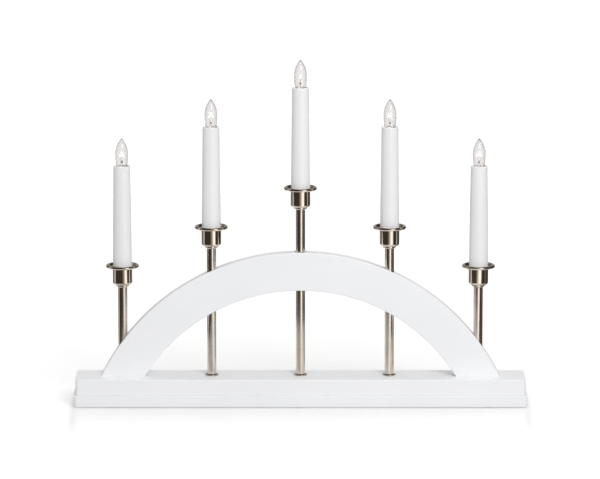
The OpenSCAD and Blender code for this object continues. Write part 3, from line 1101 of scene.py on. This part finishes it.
class CANDELABRUM_OT_arch(bpy.types.Operator):
    """Makes the painted arch with the holes that the tubes go through"""

    bl_idname = "candelabrum.arch"
    bl_label = "Arch"

    def execute(self, context):
        low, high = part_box("arch")
        half_chord = (high.x - low.x) / 2
        rise = high.z - low.z
        radius = (half_chord ** 2 + rise ** 2) / (2 * rise)
        bores = bmesh.new()
        for n in LAMPS:
            lamp = Lamp(n)
            bore = rod_profile(lamp.tube_radius + WOOD_ROOM, low.z - 2 * MM, high.z + 4 * MM, 0)
            turned(bores, bore, lamp.x)
        cutter = new_object("tube_bores", bores)
        arch = new_object("painted_arch", bmesh.new())
        grow(
            arch, arch_tree(), outer_radius=radius, band_width=sizes().arch_band,
            thickness=high.y - low.y, edge=sizes().arch_edge, centre_height=high.z - radius,
            foot_height=low.z, bores=cutter, finish=material("satin_white_paint"),
        )
        bpy.data.objects.remove(cutter)
        hand_over(arch, "root", ["arch"])
        return {"FINISHED"}


class CANDELABRUM_OT_tubes(bpy.types.Operator):
    """Makes the nickel tubes and the flanges at their feet"""

    bl_idname = "candelabrum.tubes"
    bl_label = "Tubes and flanges"

    # Inner radius of the tubes
    TUBE_BORE = 4 * MM

    def execute(self, context):
        for n in LAMPS:
            lamp = Lamp(n)
            section = tube_profile(self.TUBE_BORE, lamp.tube_radius, lamp.tube_foot, lamp.tube_top, 0.25 * MM)
            tube = turned_object(f"nickel_tube_{n}", section, lamp.x, steps=72)
            hand_over(tube, "root", [f"tube_{n}"], ["nickel_plate_drawn"])

        size, places = repeated("tube_flanges")
        radius = size.x / 2
        thick = size.z
        bore = Lamp(3).tube_radius + FIT
        flange = turned_object("flange", rounded([
            (bore, 0, 0), (radius, 0, 0.15 * MM), (radius, 0.55 * thick, 0.5 * MM),
            (radius - 1.6 * MM, thick, 0.6 * MM), (bore, thick, 0.1 * MM),
        ], 5), steps=72)
        hand_over_copies("nickel_flanges", "tube_flanges", flange, places, "nickel_plate_spun")
        return {"FINISHED"}


class CANDELABRUM_OT_cups(bpy.types.Operator):
    """Makes the candle cups, with a rolled rim and a dish, and the collars under them"""

    bl_idname = "candelabrum.cups"
    bl_label = "Cups and collars"

    def profile(self, lamp, rim_radius):
        """Section of a cup, with its rim at height 0."""
        s = sizes()
        body = s.cup_radius
        bore = body - s.cup_metal
        foot = lamp.cup_foot - lamp.rim
        hole = lamp.tube_radius + FIT
        lip = rim_radius - s.rim_roll
        under = -s.dish_depth - 1.4 * MM
        floor = -s.dish_depth
        outside = rounded([(hole, foot, 0), (body, foot, 3 * MM), (body, under, 0.7 * MM),
                           (lip, -2 * s.rim_roll, 0)], 8)
        roll = arc(lip, -s.rim_roll, s.rim_roll, -90, 172, 26)
        inside = rounded([(*roll[-1], 0), (lip - s.rim_roll - 0.15 * MM, floor, 0.25 * MM),
                          (bore, floor, 0.35 * MM), (bore, foot + s.cup_metal, 2.2 * MM),
                          (hole, foot + s.cup_metal, 0)], 8)
        return outside[:-1] + roll + inside[1:]

    def execute(self, context):
        for n in LAMPS:
            lamp = Lamp(n)
            low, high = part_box(f"cup_{n}")
            section = self.profile(lamp, (high.x - low.x) / 2)
            cup = turned_object(f"nickel_cup_{n}", section, lamp.x, 0, lamp.rim, 96)
            hand_over(cup, "root", [f"cup_{n}"], ["nickel_plate_spun"])

        size, places = repeated("cup_collars")
        radius = size.x / 2
        thick = size.z
        bore = Lamp(3).tube_radius + FIT
        collar = turned_object("collar", rounded([
            (bore, 0, 0.1 * MM), (radius - 1.2 * MM, 0, 0.5 * MM), (radius, 0.45 * thick, 0.5 * MM),
            (radius, thick, 0.1 * MM), (bore, thick, 0),
        ], 5), steps=72)
        hand_over_copies("nickel_collars", "cup_collars", collar, places, "nickel_plate_spun")
        return {"FINISHED"}


class CANDELABRUM_OT_sleeves(bpy.types.Operator):
    """Makes the tapered candle sleeves"""

    bl_idname = "candelabrum.sleeves"
    bl_label = "Candle sleeves"

    # Radius at the mouth, then the radius and wall of the spigot that stands in the cup
    TOP = 9.1 * MM
    SPIGOT = 9.4 * MM
    SPIGOT_WALL = 1.3 * MM

    def execute(self, context):
        mouth = self.TOP - sizes().sleeve_wall
        bore = self.SPIGOT - self.SPIGOT_WALL
        for n in LAMPS:
            low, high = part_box(f"candle_sleeve_{n}")
            foot = (high.x - low.x) / 2
            lamp = Lamp(n)
            seat = lamp.rim - sizes().dish_depth + 0.05 * MM
            sleeve = turned_object(f"candle_sleeve_moulded_{n}", rounded([
                (bore, low.z, 0.3 * MM), (self.SPIGOT, low.z, 0.5 * MM), (self.SPIGOT, seat, 0),
                (foot, seat, 0.4 * MM), (self.TOP, high.z, 0.9 * MM), (mouth, high.z, 0.5 * MM),
                (bore, seat, 0),
            ], 6), lamp.x, 0, 0, 96)
            hand_over(sleeve, f"sleeve_{n}", [f"candle_sleeve_{n}"],
                      ["white_candle_plastic"])
        return {"FINISHED"}


# Radius over the crests of the bulbs' thread, and the height over which a thread fades out
THREAD_RADIUS = 4.75 * MM
THREAD_FADE = 0.8 * MM


def thread_wave(height, angle, low, high):
    """Height of a right-hand rolled thread, 0 to 1, faded out towards both of its ends."""
    phase = TURN * (height / sizes().thread_pitch) - angle
    fade = min(1.0, max(0.0, (height - low) / THREAD_FADE), max(0.0, (high - height) / THREAD_FADE))
    return fade * (0.5 + 0.5 * math.cos(phase))


def thread_heights(low, high):
    """Heights at which a thread is drawn, eight to each turn."""
    count = math.ceil((high - low) / sizes().thread_pitch * 8)
    return [low + (high - low) * i / count for i in range(count + 1)]


class CANDELABRUM_OT_holders(bpy.types.Operator):
    """Makes the lamp holders with their threaded shells, on their risers"""

    bl_idname = "candelabrum.holders"
    bl_label = "Lamp holders"

    # Heights are counted from the mouth of the sleeve
    FLUTES = 16
    FLUTE_DEPTH = 0.22 * MM
    FLUTED = (-14 * MM, -5.2 * MM)
    SHELL = (-17 * MM, -5 * MM)
    THREAD = (-16.4 * MM, -5.4 * MM)
    POCKET = 5.32 * MM
    POCKET_FLOOR = -20 * MM

    def flute(self, angle, radius, height):
        """Shallow grip flutes round the upper half of a holder."""
        if radius < 6.5 * MM or not self.FLUTED[0] < height < self.FLUTED[1]:
            return radius
        return radius - self.FLUTE_DEPTH * max(0.0, math.cos(self.FLUTES * angle)) ** 2

    def thread(self, angle, radius, height):
        """Radius of the shell's wall, pressed out along its thread."""
        return radius + sizes().thread_depth * thread_wave(height, angle, *self.THREAD)

    def shell(self, bm, lamp):
        """Thin brass shell with a rolled thread inside."""
        root = THREAD_RADIUS - sizes().thread_depth
        heights = thread_heights(*self.SHELL)
        outer = [(root + 0.4 * MM, h) for h in heights]
        inner = [(root + 0.09 * MM, h) for h in reversed(heights)]
        turned(bm, outer + inner, lamp.x, 0, lamp.mouth, 48, self.thread)

    def holder(self, lamp, riser, socket):
        """Moulded holder: a foot round its riser, a fluted wall and a pocket for the shell."""
        low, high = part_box(f"lamp_holder_{lamp.number}")
        outer = (high.x - low.x) / 2
        foot, top = low.z - lamp.mouth, high.z - lamp.mouth
        outside = rounded([
            (riser + FIT, foot, 0.2 * MM), (outer, foot, 0.6 * MM), (outer, top, 0), (0, top, 0),
        ], 4)[:-2]
        wall = [(outer, h * MM) for h in (-15, -14, -13.6, -12, -9, -6, -5.6, -5.2)]
        rim = rounded([
            (0, foot, 0), (outer, foot, 0), (outer, top, 0.5 * MM), (self.POCKET, top, 0.3 * MM),
            (self.POCKET, self.POCKET_FLOOR, 0.3 * MM), (0, self.POCKET_FLOOR, 0),
        ], 4)[2:]
        section = outside + wall + rim + [(0, socket), (riser + FIT, socket)]
        return turned_object(
            f"lamp_holder_moulded_{lamp.number}", section, lamp.x, 0, lamp.mouth, 96, self.flute
        )

    def execute(self, context):
        shells = bmesh.new()
        risers = bmesh.new()
        size, places = repeated("riser_tubes")
        riser = size.x / 2
        for n, place in zip(LAMPS, places):
            lamp = Lamp(n)
            top = place.z + size.z
            holder = self.holder(lamp, riser, top - lamp.mouth)
            hand_over(holder, "root", [f"lamp_holder_{n}"], ["off_white_holder_plastic"])
            self.shell(shells, lamp)
            turned(risers, tube_profile(lamp.tube_radius + FIT, riser, place.z, top, 0.3 * MM), lamp.x)
        hand_over(new_object("threaded_shells", shells), "root", ["screw_shells"], ["plain_brass"])
        hand_over(new_object("moulded_risers", risers), "root", ["riser_tubes"],
                  ["off_white_holder_plastic"])
        for node, name in (("centre_contacts", "plain_brass"), ("wiring", "lead_insulation"),
                           ("terminal_block", "off_white_holder_plastic")):
            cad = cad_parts[node]
            cad.data.materials.clear()
            cad.data.materials.append(material(name))
        return {"FINISHED"}


class CANDELABRUM_OT_bulbs(bpy.types.Operator):
    """Makes the candle bulbs: glass, cap, contact tip, and the filament on its leads"""

    bl_idname = "candelabrum.bulbs"
    bl_label = "Bulbs"

    # Heights are counted from the mouth of the sleeve: the glass, then the cap, then the filament
    WIDEST = 13 * MM
    BELLY = 90 * MM
    SHOULDER = -5 * MM
    NECK = 4.35 * MM
    NECK_END = -9 * MM
    NOSE = 0.55 * MM
    POINT = 0.35 * MM
    CAP_SKIN = 0.25 * MM
    CAP_THREAD = (-15.4 * MM, -8.6 * MM)
    BEAD = 4.3 * MM
    BEAD_RADIUS = 1.25 * MM
    LEAD_ENDS = 10 * MM
    SPREAD = 2.2 * MM
    COIL_TURNS = 26
    COIL_RADIUS = 0.26 * MM

    def glass_radius(self, height, radius, top):
        """Outer radius of the glass: an ogive above its widest point and a long curve below it."""
        up = height - self.WIDEST
        if up > 0:
            reach = top - self.WIDEST
            ogive = ((radius - self.POINT) ** 2 + reach ** 2) / (2 * (radius - self.POINT))
            return radius - ogive + math.sqrt(ogive ** 2 - up ** 2)
        if height >= 0:
            return radius - self.BELLY + math.sqrt(self.BELLY ** 2 - up ** 2)
        at_mouth = radius - self.BELLY + math.sqrt(self.BELLY ** 2 - self.WIDEST ** 2)
        share = min(1.0, height / self.SHOULDER)
        return at_mouth + (self.NECK - at_mouth) * share * share * (3 - 2 * share)

    def glass(self, lamp):
        """Blown glass with an even wall, closed at its foot."""
        low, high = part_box(f"bulb_glass_{lamp.number}")
        radius = (high.x - low.x) / 2
        top = lamp.tip - lamp.mouth
        wall = sizes().glass_wall
        steps = 44
        outer = []
        for i in range(steps + 1):
            share = 1 - (1 - i / steps) ** 1.25
            height = self.NECK_END + (top - self.NOSE - self.NECK_END) * share
            outer.append(Vector((self.glass_radius(height, radius, top), height)))
        roof = top - 2.2 * wall
        inner = [
            (max(point.x - wall, 0.2 * MM), point.y) for point in reversed(outer)
            if self.NECK_END + 1.5 * wall < point.y < roof - 0.4 * MM
        ]
        start = outer[-1]
        nose = [(start.x * math.cos(a), start.y + self.NOSE * math.sin(a))
                for a in (math.radians(d) for d in (30, 55, 75))]
        section = [*outer, *nose, (0, top), (0, roof), *inner, (0, self.NECK_END + 1.2 * wall),
                   (0, self.NECK_END)]
        piece = turned_object(f"clear_bulb_{lamp.number}", section, lamp.x, 0, lamp.mouth, 64)
        hand_over(piece, f"bulb_{lamp.number}", [f"bulb_glass_{lamp.number}"],
                  ["clear_bulb_glass"])
        piece.visible_shadow = False

    def cap(self, lamp):
        """Thin plated cap with a right-hand thread, closed in at its foot."""
        depth = sizes().thread_depth
        root = THREAD_RADIUS - depth
        low, high = self.CAP_THREAD

        def warp(angle, radius, height):
            if low < height < high and radius > root - 1.1 * self.CAP_SKIN:
                return radius + depth * thread_wave(height, angle, low, high)
            return radius

        foot = points((3.2, -16.5), (3.9, -16.3)) + [Vector((root - 0.05 * MM, -15.8 * MM))]
        collar = [Vector((root, 0)) + point for point in points((0.12, -8.2), (0.12, -5.4), (0.3, -5.0))]
        outside = foot + [Vector((root, h)) for h in thread_heights(low, high)] + collar
        inside = [(point.x - self.CAP_SKIN, point.y) for point in reversed(outside[len(foot):])]
        section = outside + inside + points((3.8, -15.9), (3.2, -16.2))
        piece = turned_object(f"threaded_cap_{lamp.number}", section, lamp.x, 0, lamp.mouth, 48, warp)
        hand_over(piece, f"bulb_{lamp.number}", [f"bulb_cap_{lamp.number}"],
                  ["bulb_cap_plate"])

    def tip(self, lamp):
        """Black insulator with a drop of solder under it."""
        low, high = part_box(f"bulb_tip_{lamp.number}")
        foot = low.z - lamp.mouth
        top = high.z - lamp.mouth
        drop = 0.75 * MM
        bm = bmesh.new()
        turned(bm, rounded([
            (0, foot + 0.5 * MM, 0), (1.9 * MM, foot + 0.5 * MM, 0.3 * MM),
            (4.1 * MM, top - 0.1 * MM, 0.3 * MM), (3.0 * MM, top, 0.1 * MM), (0, top, 0),
        ], 5), lamp.x, 0, lamp.mouth, 48)
        turned(bm, [(0, foot), *arc(0, foot + drop, drop, -80, 60, 8), (0, foot + 1.4 * MM)], lamp.x, 0,
               lamp.mouth, 24, lambda angle, radius, height: 2 * radius, 1)
        piece = new_object(f"contact_tip_{lamp.number}", bm)
        hand_over(piece, f"bulb_lift_{lamp.number}", [f"bulb_tip_{lamp.number}"],
                  ["black_cap_insulator", "solder"])

    def filament(self, lamp):
        """Two leads through a bead, and a coiled wire hung between them in an arc."""
        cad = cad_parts[f"filament_{lamp.number}"].data.vertices
        far = max(cad, key=lambda v: (v.co.xy - Vector((lamp.x, 0))).length).co
        facing = math.atan2(far.y, far.x - lamp.x)
        across = Vector((math.cos(facing), math.sin(facing), 0))
        up = Vector((0, 0, 1))
        centre = Vector((lamp.x, 0, lamp.mouth))
        bm = bmesh.new()
        for side in (-1, 1):
            stops = points((0.7, -8.2), (1.0, -4), (1.0, 4.3), (1.15, 5.6), (2.0, 9.2), (2.2, 10.1))
            wire(bm, [centre + across * side * u + up * h for u, h in stops], 0.17 * MM)
            hook = centre + across * side * self.SPREAD + up * self.LEAD_ENDS
            turned(bm, rod_profile(0.32 * MM, -0.45 * MM, 0.45 * MM, 0.15 * MM), *hook, 12)
        radius = self.BEAD_RADIUS
        turned(bm, [(0, -radius), *arc(0, 0, radius, -75, 75, 10), (0, radius)], lamp.x, 0,
               lamp.mouth + self.BEAD, 24, finish_index=1)
        fine = 9
        count = self.COIL_TURNS * fine
        aside = across.cross(up)
        coil = []
        for i in range(count + 1):
            around = math.radians(180) * (1 - i / count)
            out = up * math.sin(around) + across * math.cos(around)
            ring = centre + up * self.LEAD_ENDS + out * self.SPREAD
            angle = TURN * i / fine
            coil.append(ring + self.COIL_RADIUS * (math.cos(angle) * out + math.sin(angle) * aside))
        wire(bm, coil, 0.075 * MM, 5, 2)
        piece = new_object(f"filament_on_leads_{lamp.number}", bm)
        hand_over(piece, f"bulb_{lamp.number}", [f"filament_{lamp.number}"],
                  ["lead_in_wire", "bead_glass", "glowing_filament"])

    def execute(self, context):
        for lamp in map(Lamp, LAMPS):
            self.glass(lamp)
            self.cap(lamp)
            self.tip(lamp)
            self.filament(lamp)
        return {"FINISHED"}


class CANDELABRUM_OT_fasteners(bpy.types.Operator):
    """Makes the screws, nuts and washers"""

    bl_idname = "candelabrum.fasteners"
    bl_label = "Fasteners"

    # Rise of a screw's thread in one turn, depth and half width of the cross recess
    PITCH = 1.6 * MM
    RECESS_DEPTH = 1.3 * MM
    RECESS_HALF = 0.45 * MM
    # How far the cone that chamfers a nut stands out past its corners
    CHAMFER = 0.35 * MM

    def screw(self, length, shank, head, flat_head):
        """A wood screw that points up from height 0, with a cross recess in its head."""
        pitch = self.PITCH
        start = head - shank if flat_head else 0
        end = length - 0.2 * MM
        core = 0.68 * shank
        count = math.ceil((end - start) / pitch * 6)
        heights = [start + 0.3 * MM + (end - start - 0.3 * MM) * i / count for i in range(count + 1)]

        def warp(angle, radius, height):
            if height <= start + 0.2 * MM or radius > core * 1.01:
                return radius
            phase = (height / pitch - angle / TURN) % 1
            ridge = max(0.0, 1 - abs(phase - 0.5) / 0.28)
            taper = min(1.0, (length - height) / (1.6 * shank))
            return radius + (shank - core) * ridge * taper * min(1.0, (height - start) / pitch)

        if flat_head:
            bottom = 0
            wide = 0.5 * head
            lines = [(0, 0), (head - 0.15 * MM, 0), (head, 0.12 * MM), (core * 1.02, start + 0.1 * MM)]
        else:
            bottom = -shank
            wide = shank
            lines = [(0, bottom), (1.2 * shank, bottom), (1.7 * shank, 0.7 * bottom),
                     (2 * shank, 0.1 * bottom), (2 * shank, 0), (core * 1.02, 0.05 * MM)]
        lines += [(core * min(1.0, (length - h) / (2.2 * shank)), h) for h in heights]
        screw = turned_object("screw", lines + [(0, length)], steps=24, warp=warp)
        recess = bmesh.new()
        for turn in (0, 90):
            rings = []
            for height, share in ((bottom - 0.2 * MM, 1.05), (bottom + self.RECESS_DEPTH, 0.45)):
                u, v = wide * share, self.RECESS_HALF * share
                corners = [Vector((a * u, b * v, height)) for a, b in ((-1, -1), (1, -1), (1, 1), (-1, 1))]
                rings.append([Matrix.Rotation(math.radians(turn), 3, "Z") @ c for c in corners])
            lofted(recess, rings)
        return cut(screw, recess)

    def nut(self, across, bore, thick):
        """A hexagon nut with both faces chamfered, standing on height 0."""
        corner = across / math.cos(math.radians(30))
        nut = turned_object("nut", rod_profile(corner, 0, thick, 0), steps=6)
        face = across - 0.1 * MM
        wide = corner + self.CHAMFER
        down = self.CHAMFER + 0.3 * MM
        dome = bmesh.new()
        outline = (0, 0), (face, 0), (wide, down), (wide, thick - down), (face, thick), (0, thick)
        turned(dome, [Vector(point) for point in outline], steps=60)
        cut(nut, dome, "INTERSECT")
        hole = bmesh.new()
        funnel = bore + 1.2 * MM
        outline = ((0, -MM), (funnel, -MM), (bore, 0.3 * MM), (bore, thick - 0.3 * MM),
                   (funnel, thick + MM), (0, thick + MM))
        turned(hole, [Vector(point) for point in outline], steps=60)
        return cut(nut, hole)

    def execute(self, context):
        for node, flat_head in (("board_screws", True), ("arch_screws", False)):
            size, places = repeated(node)
            head = size.x / 2
            shank = head / 2
            sunk = 0 if flat_head else shank
            screw = self.screw(size.z - sunk, shank, head, flat_head)
            feet = [place + Vector((0, 0, sunk)) for place in places]
            hand_over_copies(node + "_threaded", node, screw, feet, "zinc_plate", TURN)
        bore = Lamp(3).tube_radius + FIT
        for node in ("tube_nuts", "cup_nuts"):
            size, places = repeated(node)
            nut = self.nut(size.y / 2, bore, size.z)
            hand_over_copies(node + "_hexagon", node, nut, places, "zinc_plate")
        size, places = repeated("tube_washers")
        washer = turned_object("washer", tube_profile(bore, size.x / 2, 0, size.z, 0.12 * MM))
        hand_over_copies("tube_washers_flat", "tube_washers", washer, places, "zinc_plate")
        return {"FINISHED"}


class CANDELABRUM_OT_feet(bpy.types.Operator):
    """Makes the felt pads under the base and the rubber grommet in its back edge"""

    bl_idname = "candelabrum.feet"
    bl_label = "Pads and grommet"

    # How uneven the edge of the felt is
    FUZZ = 0.06 * MM
    # The grommet's bore and body, and how far the lower board stands out past the upper board
    BORE = 3.2 * MM
    BODY = 4.75 * MM
    LEDGE = 2 * MM

    def execute(self, context):
        chance = Random(studio().seed)
        size, places = repeated("felt_pads")
        radius = size.x / 2
        thick = size.z
        edge = radius - self.FUZZ
        bm = bmesh.new()
        turned(bm, rounded([
            (0, 0, 0), (0.5 * radius, 0, 0), (edge, 0, 0.35 * MM), (edge, thick, 0.35 * MM),
            (0.5 * radius, thick, 0), (0, thick, 0),
        ], 4), steps=48)
        for vert in bm.verts:
            if 0 < vert.co.z < thick:
                vert.co.xy *= 1 + chance.uniform(-self.FUZZ, self.FUZZ) / radius
        pad = new_object("pad", bm)
        hand_over_copies("felt_pads_pressed", "felt_pads", pad, places, "pressed_felt", TURN)

        low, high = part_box("cord_grommet")
        middle = (low + high) / 2
        flange = (high.x - low.x) / 2
        length = high.y - low.y
        seat = CAD_BOX[1].y - self.LEDGE - low.y
        bm = bmesh.new()
        turned(bm, rounded([
            (self.BORE, 0, 0.3 * MM), (self.BODY, 0, 0.4 * MM), (self.BODY, seat, 0),
            (flange, seat, 0.2 * MM), (flange, length, 0.9 * MM), (self.BORE, length, 0.6 * MM),
        ], 5))
        point_back(bm, middle.x, low.y, middle.z)
        grommet = new_object("rubber_grommet", bm)
        hand_over(grommet, "root", ["cord_grommet"], ["pale_rubber"])
        return {"FINISHED"}


class CANDELABRUM_PT_panel(bpy.types.Panel):
    """Sidebar panel with every step of the build"""

    bl_idname = "CANDELABRUM_PT_panel"
    bl_label = "Candelabrum"
    bl_space_type = "VIEW_3D"
    bl_region_type = "UI"
    bl_category = "Candelabrum"

    def draw(self, context):
        for step in STEPS:
            self.layout.operator(step.bl_idname)


GROUPS = (CandelabrumSizes, CandelabrumFinish, CandelabrumStudio)
STEPS = (
    CANDELABRUM_OT_stage,
    CANDELABRUM_OT_boards,
    CANDELABRUM_OT_arch,
    CANDELABRUM_OT_tubes,
    CANDELABRUM_OT_cups,
    CANDELABRUM_OT_sleeves,
    CANDELABRUM_OT_holders,
    CANDELABRUM_OT_bulbs,
    CANDELABRUM_OT_fasteners,
    CANDELABRUM_OT_feet,
)


def register():
    for cls in (*GROUPS, *STEPS, CANDELABRUM_PT_panel):
        bpy.utils.register_class(cls)
    bpy.types.Scene.candelabrum_sizes = PointerProperty(type=CandelabrumSizes)
    bpy.types.Scene.candelabrum_finish = PointerProperty(type=CandelabrumFinish)
    bpy.types.Scene.candelabrum_studio = PointerProperty(type=CandelabrumStudio)


def unregister():
    del bpy.types.Scene.candelabrum_studio
    del bpy.types.Scene.candelabrum_finish
    del bpy.types.Scene.candelabrum_sizes
    for cls in reversed((*GROUPS, *STEPS, CANDELABRUM_PT_panel)):
        bpy.utils.unregister_class(cls)


def main():
    register()
    for step in STEPS:
        group, name = step.bl_idname.split(".")
        getattr(getattr(bpy.ops, group), name)()


if __name__ == "__main__":
    main()
